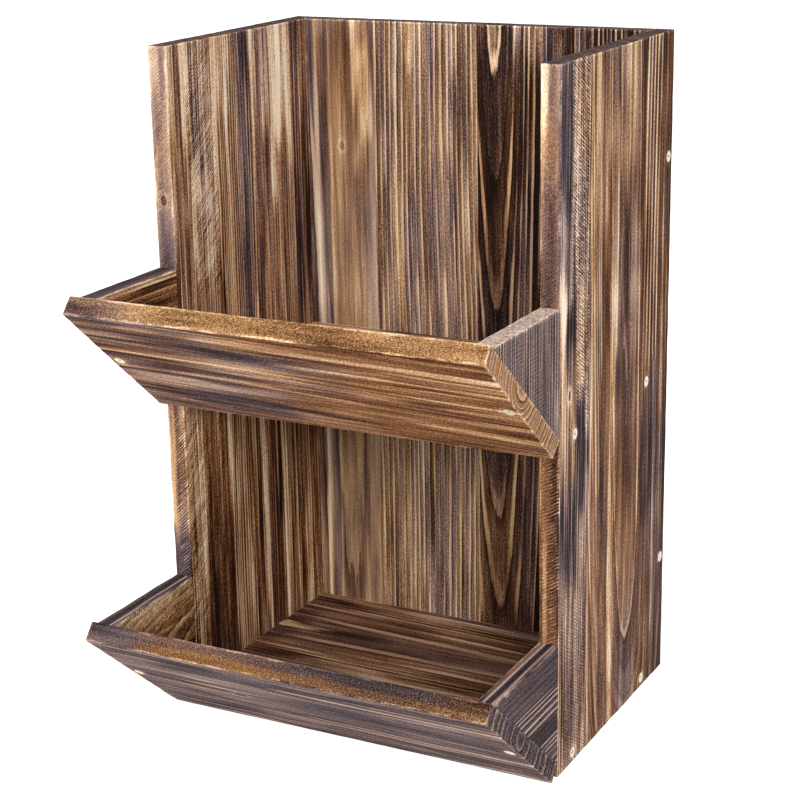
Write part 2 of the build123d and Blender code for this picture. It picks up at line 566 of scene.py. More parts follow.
# what a board's finish has where its own look says nothing else
plainLook = {
    "waver": 0.35, "char": 0.30, "bleach": 0.26, "ringSpread": 0.20, "groove": 0.18, "ridge": 0.62,
    "fibreSpread": 0.95, "cloudSpread": 0.45, "sweep": 0.70, "speck": 1.15,
    "tooth": 0.36, "sawSlant": 0.6, "sawPitch": 2.6, "wear": 0.22, "foot": 0.0, "edgeGrit": 1.0,
    "endBurn": 0.86, "endRings": 0.14, "endLines": 0.30, "pores": 1.4,
    "violet": 0.38, "endViolet": 0.4, "flankViolet": 0.05, "straw": 0.0, "edgeStraw": 0.2,
}


# scorched and brushed bands of the other face, drawn by chance
def otherBands(board):
    rng = np.random.default_rng(board["seed"] + 500)
    length, width = board["outline"].max(0)
    bands = []
    for _ in range(round(width / 6)):
        low, start = rng.uniform(-4, width), rng.uniform(-0.4, 0.8) * length
        reach = rng.uniform(0.2, 0.8) * length
        bands.append((low, low + rng.choice([2.5, 5, 12, 20]), start, start + reach, rng.normal(0, 0.20)))
    return bands


# ragged borders of the patches on a face and on an edge, in millimetres
facePatch = {
    "sway": 1.6, "swayLengths": (150, 50, 50), "swaySeed": 3, "sideFade": 0.9,
    "lag": 18, "lagLengths": (40, 7, 9), "lagSeed": 4, "endFade": 26, "depth": (0.5, 2.0),
}
edgePatch = {
    "sway": 0.7, "swayLengths": (60, 20, 9), "swaySeed": 12, "sideFade": 0.8,
    "lag": 14, "lagLengths": (40, 9, 5), "lagSeed": 8, "endFade": 22, "depth": (0.3, 1.2),
}


# sum of patches, each as from and to across the grain, from and to along it, and strength
def patchSum(patches, border, seed, place, across, depth):
    sway = across + border["sway"] * drift(place, border["swayLengths"], seed + border["swaySeed"])
    lag = place[:, 0] + border["lag"] * drift(place, border["lagLengths"], seed + border["lagSeed"])
    total = np.zeros(len(place))
    for low, high, start, end, strength in patches:
        inside = soft(low, high, border["sideFade"], sway)
        total += strength * inside * soft(start, end, border["endFade"], lag)
    return total * (1 - smooth(*border["depth"], depth))


def facePatches(patches, board, place, other=False):
    place = grainPlace(board, place)
    _, across, deep = place.T
    onFirst = (board.get("shows", "first") == "first") != other
    depth = deep if onFirst else boardThickness - deep
    return patchSum(patches, facePatch, board["seed"], place, across, depth)


# the same on the board's edge that shows, with across counted from its first face
def edgePatches(patches, board, place):
    point, normal = boardSides(board)[board.get("edge", "low")]
    return patchSum(patches, edgePatch, board["seed"], place, place[:, 2], (place - point) @ normal)


# patches of one kind on the face and on the edge
def patched(kind, board, place):
    face = facePatches(board.get(kind, []), board, place)
    return face + edgePatches(board.get("edge" + kind.capitalize(), []), board, place)


# fibres torn pale round the screw heads
torn = {"paler": 0.16, "near": 4.4, "far": 8.0, "rag": 1.2, "ragLengths": (6, 4, 4)}


# how dark the wood is, from its own tone, its patches and its tongue
def burnField(board, place):
    total = board["tone"] + patched("streaks", board, place)
    if "tongue" in board:
        total += board["tongueTone"] * (1 - smooth(-0.1, 0.1, ringField(board, place)))
    rag = torn["rag"] * drift(place, torn["ragLengths"], board["seed"] + 9)
    for node in screwNodes:
        for seat, _ in seats[node]:
            away = np.linalg.norm(place - board["axes"] @ (seat - board["corner"]), axis=1)
            total -= torn["paler"] * (1 - smooth(torn["near"], torn["far"], away + rag))
    return total


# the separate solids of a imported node, as clouds of points
def islands(node):
    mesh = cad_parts[node].data
    points = meshPoints(mesh)
    _, same = np.unique(np.round(points, 3), axis=0, return_inverse=True)
    same = same.reshape(-1)
    group = np.arange(same.max() + 1)
    edges = np.zeros(2 * len(mesh.edges), int)
    mesh.edges.foreach_get("vertices", edges)
    edges = same[edges.reshape(-1, 2)]
    changed = True
    while changed:
        least = np.minimum(group[edges[:, 0]], group[edges[:, 1]])
        before = group.copy()
        np.minimum.at(group, edges[:, 0], least)
        np.minimum.at(group, edges[:, 1], least)
        changed = (before != group).any()
    return [points[group[same] == g] for g in np.unique(group)]


# head centre and the direction the head faces, for each screw of a node
def screwSeats(node):
    seats = []
    for cloud in islands(node):
        middle = boxMiddle(cloud)
        outward = np.array([np.sign(middle[0]), 0, 0])
        if "front" in node:
            outward = np.array([0, -sin(slope), -cos(slope)])
        heights = (cloud - middle) @ outward
        top = cloud[heights > heights.max() - 0.05]  # the head's flat
        seats.append((boxMiddle(top), outward))
    return seats


def dowelSeats(node):
    return [(boxMiddle(cloud), np.array([0.0, -1.0, 0.0])) for cloud in islands(node)]


def ringPoints(radius, angles, height):
    return np.stack(np.broadcast_arrays(radius * np.cos(angles), radius * np.sin(angles), height), 1)


# closed solid of rings about an axis; rows are (radius, height) and the radius may vary round the turn
def turnedSolid(rows, sides):
    angles = np.linspace(0, 2 * pi, sides, endpoint=False)
    points = np.concatenate([ringPoints(radius, angles, height) for radius, height in rows])
    faces = []
    for row in range(len(rows) - 1):
        for k in range(sides):
            a, b = row * sides + k, row * sides + (k + 1) % sides
            faces.append([a, b, b + sides, a + sides])
    faces.append(list(range(sides))[::-1])
    faces.append([len(points) - sides + k for k in range(sides)])
    return points, faces


def placed(points, seat, outward):  # +Z of the solid to the outward direction
    turn = np.array(Vector((0, 0, 1)).rotation_difference(Vector(outward)).to_matrix())
    return points @ turn.T + seat


def joinedMesh(name, solids):
    points, faces, count = [], [], 0
    for solidPoints, solidFaces in solids:
        points.append(solidPoints)
        faces += [[v + count for v in loop] for loop in solidFaces]
        count += len(solidPoints)
    mesh = bpy.data.meshes.new(name)
    mesh.from_pydata((np.concatenate(points) * mm).tolist(), [], faces)
    return mesh


screw = {
    "length": 40.0, "head": 4.0, "rim": 0.5, "cone": 2.0, "shank": 2.0, "core": 1.35, "plain": 9.0,
    "pitch": 1.8, "tip": 6.0, "tipFlat": 0.4, "clearance": 0.1, "slot": 0.5, "slotEase": 0.16,
    "wingPlaces": [0.5, 1.1, 1.9, 2.2], "wingDepths": [1.8, 1.35, 0.95, 0.0],
    "headLines": [0.8, 1.1, 1.5, 1.9, 2.2, 2.6], "rimRound": [(0.22, 0.0), (0.06, 0.04), (0.0, 0.14)],
    # soot and painted shade in the recess, and a painted dark ring at the rim of the head
    "neckIn": 0.15, "openAbove": 2.0, "sootShadeReach": 2.8, "sootShadeDepth": 1.2, "sootShadeRim": 0.3, "threadSoot": 0.3,
}
dowel = {
    "radius": 3.0, "length": 24.0, "clearance": 0.1, "room": 1.0, "sides": 80, "flutes": 20,
    "fluteDepth": 0.14, "chamfer": [(0.85, 0.0), (0.72, 0.05), (0.06, 0.95)], "straight": 1.1,
}
screwNodes = ["back_screws"]
screwNodes += [f"{tier}_{kind}_screws" for kind in ("shelf", "front") for tier in ("upper", "lower")]
dowelNodes = ["upper_cheek_dowels", "lower_cheek_dowels"]
seats = {node: screwSeats(node) for node in screwNodes}
seats.update({node: dowelSeats(node) for node in dowelNodes})
print("screws and dowels found:", {node: len(found) for node, found in seats.items()})


# cutters for the holes, a little wider than what goes in
def screwHole():
    gap = screw["clearance"]
    rows = [
        (screw["shank"] + gap, -screw["length"] - gap),
        (screw["shank"] + gap, -screw["rim"] - screw["cone"]),
        (screw["head"] + gap, -screw["rim"]),
        (screw["head"] + gap, screw["openAbove"]),
    ]
    return turnedSolid(rows, 40)


def dowelHole():
    half = dowel["length"] / 2 + dowel["room"]
    radius = dowel["radius"] + dowel["clearance"]
    return turnedSolid([(radius, -half), (radius, half)], 32)


def drill(piece, holes):
    cutter = newObject("cutter", joinedMesh("cutter", holes))
    cut = piece.modifiers.new("holes", "BOOLEAN")
    cut.operation = "DIFFERENCE"
    cut.solver = "MANIFOLD"
    cut.object = cutter
    graph = bpy.context.evaluated_depsgraph_get()
    drilled = bpy.data.meshes.new_from_object(piece.evaluated_get(graph))
    drilled.name = piece.name
    piece.modifiers.clear()
    piece.data = drilled
    bpy.data.objects.remove(cutter)


# the cutters that reach into a board
def holesFor(board):
    bare = 0.2  # less overlap than this is none
    low, high = nodeBox(board["node"])
    found = []
    for node, places in seats.items():
        solid = dowelHole() if node in dowelNodes else screwHole()
        for seat, outward in places:
            cloud = placed(solid[0], seat, outward)
            if (cloud.min(0) < high - bare).all() and (cloud.max(0) > low + bare).all():
                found.append((cloud, solid[1]))
    return found


def box(alongSize, acrossSize):
    return [(0, 0), (0, acrossSize), (alongSize, 0), (alongSize, acrossSize)]


x, y, z = np.eye(3)
upSlope = np.array([0, -cos(slope), sin(slope)])
inSlope = np.array([0, sin(slope), cos(slope)])


def sideStave(board):
    low, high = nodeBox(board["node"])
    hand = np.sign(low[0])
    outline = box(high[2] - low[2], high[1] - low[1])
    finishBoard(board, (hand * halfWidth, low[1], 0), (z, y, -hand * x), outline)


sideStave({
    "node": "right_side_front_stave", "seed": 11, "pith": (-150, 6), "lean": (0.01, 0), "ringWidth": 3.2,
    "tone": 0.57, "glued": ["high"], "knots": [(263, 16.5, None, 1.5, 1.4)],
    "look": {"tooth": 0.56, "foot": 0.35, "violet": 0.55},
    "streaks": [
        (0, 19, 372, 500, 0.24), (19, 30, 410, 500, -0.16), (1, 12, 305, 352, -0.46),
        (4, 10, 258, 330, -0.3), (11, 26, 268, 312, 0.62), (25, 50, -20, 130, -0.14),
        (0, 25, -20, 20, -0.15), (29, 56, 180, 250, 0.42), (1, 29, 136, 206, 0.3),
        (28, 44, 246, 315, -0.26), (8, 25, 232, 268, -0.34), (0, 12, 212, 250, -0.14),
        (0, 25, 40, 130, 0.08),
    ],
    "mauve": [
        (0, 19, 330, 500, 0.6), (1, 29, 136, 206, 0.7), (29, 56, 180, 250, 0.8), (20, 46, 310, 420, 0.3),
        (11, 26, 268, 312, 0.8), (0, 50, -20, 140, 0.15),
    ],
    "sawn": [(18, 48, 310, 500, 1.0), (27, 48, 245, 310, 1.0), (4, 46, -20, 140, 0.4)],
    "edgeStreaks": [
        (8, 16, 446, 520, -0.46), (-2, 8, 466, 520, -0.28), (9, 16, 370, 450, -0.1),
        (-2, 16, -40, 400, 0.1), (-2, 16, 60, 240, 0.07), (8.2, 11.8, 60, 175, -0.3),
    ],
    "edgeMauve": [(-2, 16, -40, 300, -0.5)],
    "edgeSawn": [(-2, 16, -40, 380, 0.3), (-2, 7, 60, 235, 0.3)],
})
sideStave({
    "node": "right_side_rear_stave", "seed": 21, "pith": (78.3, 16), "lean": (-0.04, 0.0),
    "bow": (26.4, 90), "ringWidth": 4.2, "tongue": 30, "tongueTone": -0.06, "tone": 0.645, "glued": ["low"],
    "look": {"foot": 0.35, "ringSpread": 0.16, "sweep": 0.9, "fibreSpread": 0.85},
    "lines": [(2, 20, 190, 340, 0.8), (20, 96, -20, 500, -0.8), (96, 152, -20, 500, -0.6)],
    "streaks": [
        (0, 2.5, -20, 500, -0.34), (9, 17, 350, 500, -0.3), (36, 51, 430, 500, 0.18),
        (50, 79, 400, 500, -0.2), (80, 98, 400, 500, 0.1), (131, 152, -20, 500, 0.13),
        (55, 72, 285, 360, 0.3), (72, 88, 216, 300, -0.04), (74, 98, 300, 350, 0.14),
        (75, 98, 390, 500, 0.05), (50, 100, 173, 216, -0.08), (50, 66, 140, 270, 0.1),
        (46.5, 49, 290, 420, -0.4), (36, 50, -20, 190, -0.17), (36, 46, 50, 345, -0.24),
        (0, 25, 255, 345, -0.07), (0, 25, 170, 216, 0.08), (25, 48, 345, 395, -0.14),
        (25, 48, -20, 30, -0.14), (75, 98, 60, 135, 0.08), (98, 125, 390, 500, -0.12),
        (131, 152, 130, 260, 0.06), (131, 152, 390, 500, -0.06), (100, 125, 50, 130, -0.07),
        (58, 90, -20, 50, -0.03), (46, 53, 95, 290, 0.14), (91, 93.5, 130, 345, -0.35),
        (98, 131, 150, 260, 0.12), (98, 131, 260, 500, 0.2), (122, 124, 60, 260, -0.4),
        (137, 138.6, 80, 500, -0.34), (99.5, 102, 260, 500, -0.6), (106, 108.5, 260, 500, -0.66),
        (112.5, 115, 260, 500, -0.66), (119, 121.5, 260, 500, -0.66), (125.5, 128, 260, 500, -0.66),
    ],
    "mauve": [
        (36, 51, 430, 500, 0.2), (131, 152, -20, 230, 0.3), (131, 152, 230, 500, -0.3),
        (55, 72, 260, 360, -0.1), (58, 90, -20, 60, 0.6), (9, 17, 350, 500, -0.5), (36, 46, 50, 345, -0.5),
        (112, 131, 60, 250, 0.5),
    ],
})
sideStave({
    "node": "left_side_front_stave", "seed": 31, "shows": "last", "pith": (230, 8), "lean": (0.01, 0.0),
    "ringWidth": 3.2, "tone": 0.57, "glued": ["high"], "knots": [(371, None, 6.7, 1.7, 0.6)],
    "look": {
        "sawSlant": -0.9, "tooth": 0.56, "flankViolet": 0.3, "edgeGrit": 0.5, "bleach": 0.34, "foot": 0.35,
    },
    "lines": [(57, 88, 280, 500, 0.8), (20, 56, 20, 230, -0.7), (57, 88, 20, 230, 0.7)],
    "streaks": [
        (0, 8, 400, 520, -0.26), (28, 40, 375, 432, 0.22), (61, 84, 340, 425, 0.13),
        (57, 80, 436, 500, -0.32), (82, 85, 300, 500, 0.14), (16, 28, 410, 520, -0.46),
        (10, 50, 340, 385, -0.34), (63, 66, 340, 440, -0.24), (72, 74.5, 340, 440, -0.2),
        (-2, 60, -20, 105, 0.2), (-2, 20, 110, 230, -0.12), (20, 21.6, 20, 230, -0.3),
        (22, 55, 110, 230, 0.06), (55.5, 57.5, 20, 230, -0.32), (58, 88, 20, 230, -0.06),
        (70, 72, 20, 230, 0.24), (64, 66, 20, 230, -0.2), (77, 79, 20, 230, -0.24), (82, 85, 20, 230, 0.24),
    ],
    # the last patch warms the lower bin, 20 to 228 mm: partly the wood's hue, partly painted warm bounce
    # light
    "mauve": [(28, 40, 375, 432, 0.6), (82, 85, 300, 500, 0.4), (-2, 88, 20, 228, -0.5)],
    "sawn": [(23, 57, 300, 468, 1.0), (-2, 20, 20, 228, 1.0), (20, 55, 20, 225, 0.3)],
    "edgeStreaks": [
        (-2, 9, 448, 520, -0.18), (-2, 16, 235, 520, -0.07), (5.5, 16, 125, 235, 0.15),
        (-2, 5.5, 125, 235, -0.3), (-2, 16, -40, 122, 0.2), (-2, 16, 300, 342, 0.14),
        (5.5, 16, 130, 158, -0.26),
    ],
    "edgeMauve": [
        (5.5, 16, 125, 235, -0.2), (-2, 5.5, 125, 235, -0.6), (-2, 16, -40, 122, 0.9),
        (-2, 16, 300, 342, 0.5),
    ],
    "edgeSawn": [(-2, 16, 230, 520, 0.25), (5.5, 16, -40, 235, 0.8)],
})
sideStave({
    "node": "left_side_rear_stave", "seed": 41, "shows": "last", "pith": (-50, 40), "lean": (0.01, 0.012),
    "ringWidth": 3.8, "tone": 0.56, "glued": ["low"],
    "look": {"foot": 0.35},
    "streaks": [
        (0, 15, 400, 500, 0.25), (0, 12, 240, 400, 0.14), (19, 22, -20, 500, -0.46),
        (46, 61, 370, 500, -0.42), (41, 51, 320, 390, -0.24), (51, 58, 350, 490, -0.14),
        (48, 49, 340, 500, 0.16), (58, 77, 385, 520, -0.28), (27, 37, 455, 520, -0.16),
        (88, 101, 410, 520, -0.24), (54.5, 55.5, 300, 470, 0.22), (76, 99, 240, 500, 0.24),
        (24, 44, 330, 500, -0.04), (24, 27, 415, 500, -0.24), (0, 14, 20, 230, 0.18),
        (15.5, 18.5, 20, 230, -0.44), (24, 44, 20, 230, 0.2), (45, 48, 20, 230, -0.48),
        (50, 52, 20, 230, -0.3), (53, 62, 20, 230, 0.14), (63, 65, 20, 230, -0.34), (66, 99, 20, 230, 0.08),
    ],
    "mauve": [
        # the last patch warms the lower bin, 20 to 228 mm: partly the wood's hue, partly painted warm bounce
        # light
        (0, 16, 240, 500, 0.35), (24, 50, 340, 500, 0.2), (75, 85, 240, 500, 0.4), (-2, 99, 20, 228, -0.5),
    ],
})
print("sides done")


def backStave(board):
    low, high = nodeBox(board["node"])
    outline = box(high[2] - low[2], high[0] - low[0])
    finishBoard(board, (low[0], low[1], 0), (z, x, y), outline)


backStave({
    "node": "back_left_stave", "seed": 51, "pith": (30, 70), "lean": (0.0, -0.006), "ringWidth": 4.6,
    "tone": 0.46, "glued": ["high"], "knots": [(382, 29, None, 1.5, 0.5)],
    "look": {
        "char": 0.12, "bleach": 0.14, "ringSpread": 0.12, "fibreSpread": 0.7, "speck": 0.55, "violet": 0.45,
        "straw": 0.5, "sweep": 0.8,
    },
    "lines": [(8, 60, -20, 500, -0.6)],
    "streaks": [
        (-2, 6, -20, 500, 0.2), (6, 9, -20, 500, -0.24), (11, 18, -20, 500, 0.14),
        (18, 20, -20, 500, -0.16), (38, 55, 392, 462, -0.26), (34, 52, 440, 500, -0.13),
        # the last streak paints light into the shaded lower bin, below 215 mm
        (-2, 60, -20, 215, -0.04),
    ],
    "mauve": [(-2, 6, -20, 500, 0.3), (11, 18, -20, 500, 0.3)],
})
backStave({
    "node": "back_middle_stave", "seed": 61, "pith": (-140, 7), "ringWidth": 4.2, "uneven": 0.7,
    "tone": 0.53, "allLines": 0.35, "glued": ["low", "high"],
    "look": {"ridge": 0.55, "char": 0.18, "bleach": 0.18, "violet": 0.62, "straw": 0.5},
    "streaks": [(-2, 19, 385, 520, 0.16), (20, 41, 452, 520, -0.26)],
})
backStave({
    "node": "back_right_stave", "seed": 71, "pith": (15, 35.3), "lean": (0.0, -0.042), "ringWidth": 3.3,
    "tongue": 17, "tongueTone": -0.47, "tone": 0.9, "glued": ["low"],
    "look": {"straw": 0.4, "ringSpread": 0.12, "ridge": 0.66},
    "lines": [(24, 80, 330, 500, 0.12)],
    "streaks": [
        (28, 52, 464, 520, -0.55), (52, 72, 462, 520, -0.14), (-2, 14, 330, 460, 0.14),
        # the last streak paints light into the shaded lower bin, below 215 mm
        (14, 33, 330, 455, 0.05), (-2, 140, -20, 215, -0.12),
    ],
    "mauve": [(26, 60, 452, 520, 0.5)],
})
print("back done")


def shelf(board):
    low, high = nodeBox(board["node"])
    outline = box(high[0] - low[0], high[1] - low[1])
    board["fitted"] = ["start", "end", "high"]
    finishBoard(board, (low[0], low[1], high[2]), (x, y, -z), outline)


shelf({
    "node": "upper_shelf", "seed": 81, "pith": (80, 60), "lean": (0.02, 0.008), "ringWidth": 3.4,
    "tone": 0.54,
})
shelf({
    "node": "lower_shelf", "seed": 91, "pith": (120, 48), "lean": (-0.02, 0.012), "ringWidth": 3.4,
    "tone": 0.56,
})


def frontBoard(board):
    low, high = nodeBox(board["node"])
    width = (high[2] - low[2] - boardThickness * cos(slope)) / sin(slope)
    corner = (low[0], frontY - boardThickness * sin(slope), low[2])
    finishBoard(board, corner, (x, upSlope, inSlope), box(high[0] - low[0], width))


frontBoard({
    "node": "upper_front_board", "seed": 101, "edge": "high", "pith": (93, 18), "slant": -0.062,
    "ringWidth": 4.2, "uneven": 1.6, "tone": 0.655,
    "look": {
        "violet": 0.2, "endBurn": 0.48, "endRings": 0.3, "endLines": 0.18, "endViolet": 0.0,
        "flankViolet": -0.3, "wear": 0.3, "edgeGrit": 1.8, "edgeStraw": 0.5, "char": 0.16,
        "ringSpread": 0.15, "groove": 0.1, "sweep": 0.95, "pores": 0.8,
    },
    "lines": [(-2, 160, -20, 330, -0.5)],
    "streaks": [
        (126, 133, 70, 330, -0.28), (88.5, 91, -20, 330, -0.3), (104, 107, -20, 60, -0.2),
        (93, 117, 105, 170, 0.14), (84, 87.5, -20, 170, 0.1), (45, 58, -20, 100, -0.28),
        (63.5, 66.5, 20, 215, -0.32), (38, 45, 155, 330, -0.24), (12, 28, 130, 200, -0.16),
        (14, 38, 50, 130, 0.14), (28, 31, 235, 330, 0.14), (108, 110.5, 170, 330, -0.22),
        (78, 80.5, 190, 330, -0.16),
    ],
    "mauve": [
        (-2, 160, -20, 120, 0.4), (12, 60, 50, 130, 0.3), (92, 118, 100, 170, 0.5),
        (-2, 160, 190, 330, -0.35),
    ],
    "edgeStreaks": [
        (-2, 16, -20, 40, 0.12), (-2, 16, 48, 330, -0.06), (8, 16, 60, 330, 0.05), (-2, 3, 60, 180, -0.06),
        (2, 7, 200, 300, 0.05),
    ],
    "edgeMauve": [(-2, 16, -20, 60, 0.6)],
})
frontBoard({
    "node": "lower_front_board", "seed": 111, "edge": "high", "pith": (74, 8), "ringWidth": 7.2,
    "uneven": 1.6, "tone": 0.662, "knots": [(90, 68, None, 2.2, 0.7)],
    "look": {
        "violet": 1.1, "char": 0.14, "endBurn": 0.8, "endRings": 0.12, "endLines": 0.27, "endViolet": 0.2,
        "flankViolet": -0.9, "wear": 0.3, "edgeGrit": 2.0, "edgeStraw": 0.5, "sweep": 0.48,
        "fibreSpread": 0.68, "pores": 1.5,
    },
    "streaks": [
        (116, 140, -20, 330, 0.1), (96, 110, 150, 275, -0.14), (81, 85, 95, 215, 0.1),
        (57, 61, 95, 215, 0.1), (34, 42, 45, 330, -0.24), (-2, 30, -20, 330, 0.05),
        (-2, 140, -20, 40, -0.05),
    ],
    "edgeStreaks": [(7, 16, -20, 330, 0.22), (-2, 7, 40, 330, 0.09), (-2, 16, -20, 40, 0.08)],
    "edgeMauve": [(7, 16, -20, 260, 0.7), (-2, 16, -20, 40, 1.0)],
})


def cheek(board, upright):
    low, high = nodeBox(board["node"])
    hand = np.sign(low[0])
    if upright:
        axes = (z, -y, -hand * x)
        outline = [(0, 0), (0, 0), (cheekHeight, 0), (cheekHeight, cheekReach)]
        board["glued"] = ["low", "high"]
    else:
        axes = (-y, z, -hand * x)
        outline = [(0, 0), (0, cheekHeight), (cheekReach, cheekHeight), (cheekReach, cheekHeight)]
        board["glued"] = ["start", "low"]
    finishBoard(board, (hand * halfWidth, high[1], low[2]), axes, outline)


cheek({
    "node": "upper_right_cheek", "seed": 121, "pith": (-60, 30), "lean": (0.0, 0.006), "ringWidth": 2.6,
    "tone": 0.72, "allLines": 0.5,
    "look": {
        "violet": 1.3, "char": 0.05, "bleach": 0.05, "ringSpread": 0.1, "cloudSpread": 0.3, "endBurn": 0.3,
        "endViolet": -0.2, "endRings": 0.2, "endLines": 0.12, "wear": 0.36, "ridge": 0.52, "sweep": 0.3,
        "pores": 2.0,
    },
    "streaks": [(-2, 8, -10, 40, -0.24)],
}, True)
cheek({
    "node": "upper_left_cheek", "seed": 131, "shows": "last", "edge": "high", "pith": (120, 36),
    "lean": (0.0, 0.02), "ringWidth": 2.8, "tone": 0.6,
    "look": {"violet": -0.1, "wear": 0.34},
    "streaks": [(-2, 48, -20, 130, 0.18)],
    "edgeStreaks": [(-2, 16, -20, 130, 0.22)],
    "edgeMauve": [(-2, 16, -20, 130, 1.0)],
}, False)
cheek({
    "node": "lower_right_cheek", "seed": 141, "edge": "high", "pith": (130, 40), "ringWidth": 4.0,
    "tone": 0.77,
    "look": {
        "violet": 1.4, "char": 0.04, "bleach": 0.05, "ringSpread": 0.06, "fibreSpread": 0.32, "wear": 0.4,
        "sweep": 0.25,
    },
    "lines": [
        (41, 61, 0, 130, 0.5), (-2, 26, -20, 130, 0.5), (61, 90, -20, 130, -0.8), (26, 41, -20, 130, -0.8),
    ],
    "streaks": [(26, 41, -20, 130, 0.06)],
    "edgeStreaks": [
        (-2, 16, -20, 130, 0.03), (2.2, 3.7, -20, 130, -0.55), (8.4, 10.0, -20, 130, -0.62),
        (10.5, 16, -20, 70, -0.18), (10.5, 16, 62, 130, 0.16), (4.5, 7.5, -20, 130, 0.1),
    ],
    "edgeMauve": [(10.5, 16, -20, 70, -0.9)],
}, False)
cheek({
    "node": "lower_left_cheek", "seed": 151, "shows": "last", "edge": "high", "pith": (30, 50),
    "lean": (0.0, 0.2), "ringWidth": 6.0, "tone": 0.6,
    "look": {
        "violet": -0.8, "straw": 0.35, "sawSlant": 0.9, "fibreSpread": 0.4, "tooth": 0.42, "char": 0.1,
        "bleach": 0.08, "ringSpread": 0.08, "sweep": 0.3, "ridge": 0.4,
    },
    "streaks": [(-2, 40, -20, 130, 0.2), (66, 90, 20, 110, -0.14), (57, 59.5, 0, 70, -0.22)],
    "sawn": [(20, 90, -20, 130, 1.0)],
    "edgeStreaks": [(-2, 16, -20, 130, 0.26), (9, 10.5, -20, 130, -0.7), (2, 3.4, -20, 130, -0.3)],
    "edgeMauve": [(-2, 16, -20, 130, 2.0)],
}, False)
print("boards done:", sum(len(piece.data.polygons) for piece in built), "faces")


# zinc plate: a soft brushed sheen, with soot and painted shade in the recess, a painted dark ring at the rim,
# and soot on the thread
def zincSteel(name, plate):
    start = freshFinish(name)
    place = start.read("grain", 1)
    soot = start.read("soot")
    turn = place.scaled(1.6, 1.6, 0.3).noise(3, 0.6)
    haze = place.scaled(0.5, 0.5, 0.5).noise(2)
    dust = place.scaled(3.5, 3.5, 3.5).noise(3, 0.7).band(0.42, 0.70)
    # dust, and the soot and painted shade kept on the mesh, darken the plate
    dirtAndShade = (soot * (0.55 + dust * 0.45) + dust * 0.10).clipped()
    bright = haze.blend(shade(*plate["low"]), shade(*plate["high"]))
    colour = dirtAndShade.blend(bright, shade(74, 64, 58))
    height = turn * 0.5 + dust * 0.4
    bump = start.node("ShaderNodeBump", None, {"Strength": 0.25, "Distance": 0.0002, "Height": height})
    roughness = plate["roughness"] + turn * 0.18 + dirtAndShade * 0.30
    metal = plate["metal"] * (1 - dirtAndShade * 0.7)
    steel = {"Base Color": colour, "Metallic": metal, "Roughness": roughness, "Normal": bump}
    return start.done(start.node("ShaderNodeBsdfPrincipled", None, steel))


# plain beech: pale, with short darker flecks along the grain
def plainBeech(name):
    start = freshFinish(name)
    place = start.read("grain", 1)
    fleck = place.scaled(1.9, 1.9, 0.22).noise(3, 0.65).band(0.52, 0.72)
    band = place.scaled(0.35, 0.9, 0.02).noise(2)
    pale = band.blend(shade(226, 196, 156), shade(196, 160, 118))
    colour = (fleck * 0.75).blend(pale, shade(146, 104, 70))
    height = band - fleck * 0.6
    bump = start.node("ShaderNodeBump", None, {"Strength": 0.4, "Distance": 0.0003, "Height": height})
    beech = {"Base Color": colour, "Roughness": 0.55 + fleck * 0.2, "Specular IOR Level": 0.3, "Normal": bump}
    return start.done(start.node("ShaderNodeBsdfPrincipled", None, beech))


# depth of the cross recess below the head's flat
def recessDepth(u, v):
    def wing(a, b):
        floor = np.interp(abs(a), screw["wingPlaces"], screw["wingDepths"])
        return floor * np.interp(abs(b), [screw["slot"] - screw["slotEase"], screw["slot"]], [1, 0])

    return np.maximum(wing(u, v), wing(v, u))


# the middle of the head: a square grid with the recess, and the loop of points round it
def screwFace():
    half = [0.0, screw["slot"] - screw["slotEase"], screw["slot"], *screw["headLines"]]
    lines = np.array([-v for v in half[:0:-1]] + half)
    count = len(lines)
    u, v = np.meshgrid(lines, lines, indexing="ij")
    points = np.stack([u, v, -recessDepth(u, v)], -1).reshape(-1, 3)
    index = np.arange(count * count).reshape(count, count)
    rim = np.concatenate([index[:-1, 0], index[-1, :-1], index[:0:-1, -1], index[0, :0:-1]])
    return points, gridLoops(index).tolist(), rim


# whole screw: recessed head, cone, plain neck, thread and tip
def screwSolid():
    points, faces, loop = screwFace()
    angles = np.arctan2(points[loop, 1], points[loop, 0])
    sides = len(loop)
    head, shank, cone = screw["head"], screw["shank"], screw["rim"] + screw["cone"]
    neck, foot = -cone - screw["plain"], -screw["length"]
    rows = [(head - inset, -drop) for inset, drop in screw["rimRound"]] + [(head, -screw["rim"])]
    rows += [((head + shank) / 2, -screw["rim"] - screw["cone"] / 2), (shank, -cone)]
    rows += [(shank - screw["neckIn"], -cone - 0.5), (shank - screw["neckIn"], neck)]
    for height in np.arange(neck - 0.3, foot, -screw["pitch"] / 6):
        taper = np.clip((height - foot) / screw["tip"], 0, 1)
        ends = min(1, (neck - height) / screw["pitch"]) * min(1, taper * 1.6)
        swing = (height / screw["pitch"] - angles / (2 * pi)) % 1
        crest = np.clip(1 - abs(swing - 0.5) / 0.32, 0, 1) ** 1.4
        core = screw["tipFlat"] + (screw["core"] - screw["tipFlat"]) * min(1, taper * 1.15)
        rows.append((core + (shank - screw["core"]) * ends * crest * min(1, 0.35 + taper), height))
    rows.append((screw["tipFlat"], foot))
    points = list(points)
    for radius, height in rows:
        fresh = np.arange(sides) + len(points)
        points += list(ringPoints(radius, angles, height))
        for k in range(sides):
            faces.append([loop[k - 1], fresh[k - 1], fresh[k], loop[k]])
        loop = fresh
    faces.append(loop.tolist())
    return np.array(points), faces


# fluted dowel with chamfered ends, about its own middle
def dowelSolid():
    angles = np.linspace(0, 2 * pi, dowel["sides"], endpoint=False)
    fluted = dowel["radius"] - dowel["fluteDepth"] * (0.5 - 0.5 * np.cos(dowel["flutes"] * angles)) ** 2
    half, chamfer = dowel["length"] / 2, dowel["chamfer"]  # narrower by, and from the end
    straight = half - dowel["straight"]
    rows = [(fluted - inset, place - half) for inset, place in chamfer]
    rows += [(fluted, height) for height in np.linspace(-straight, straight, 13)]
    rows += [(fluted - inset, half - place) for inset, place in chamfer[::-1]]
    return turnedSolid(rows, dowel["sides"])


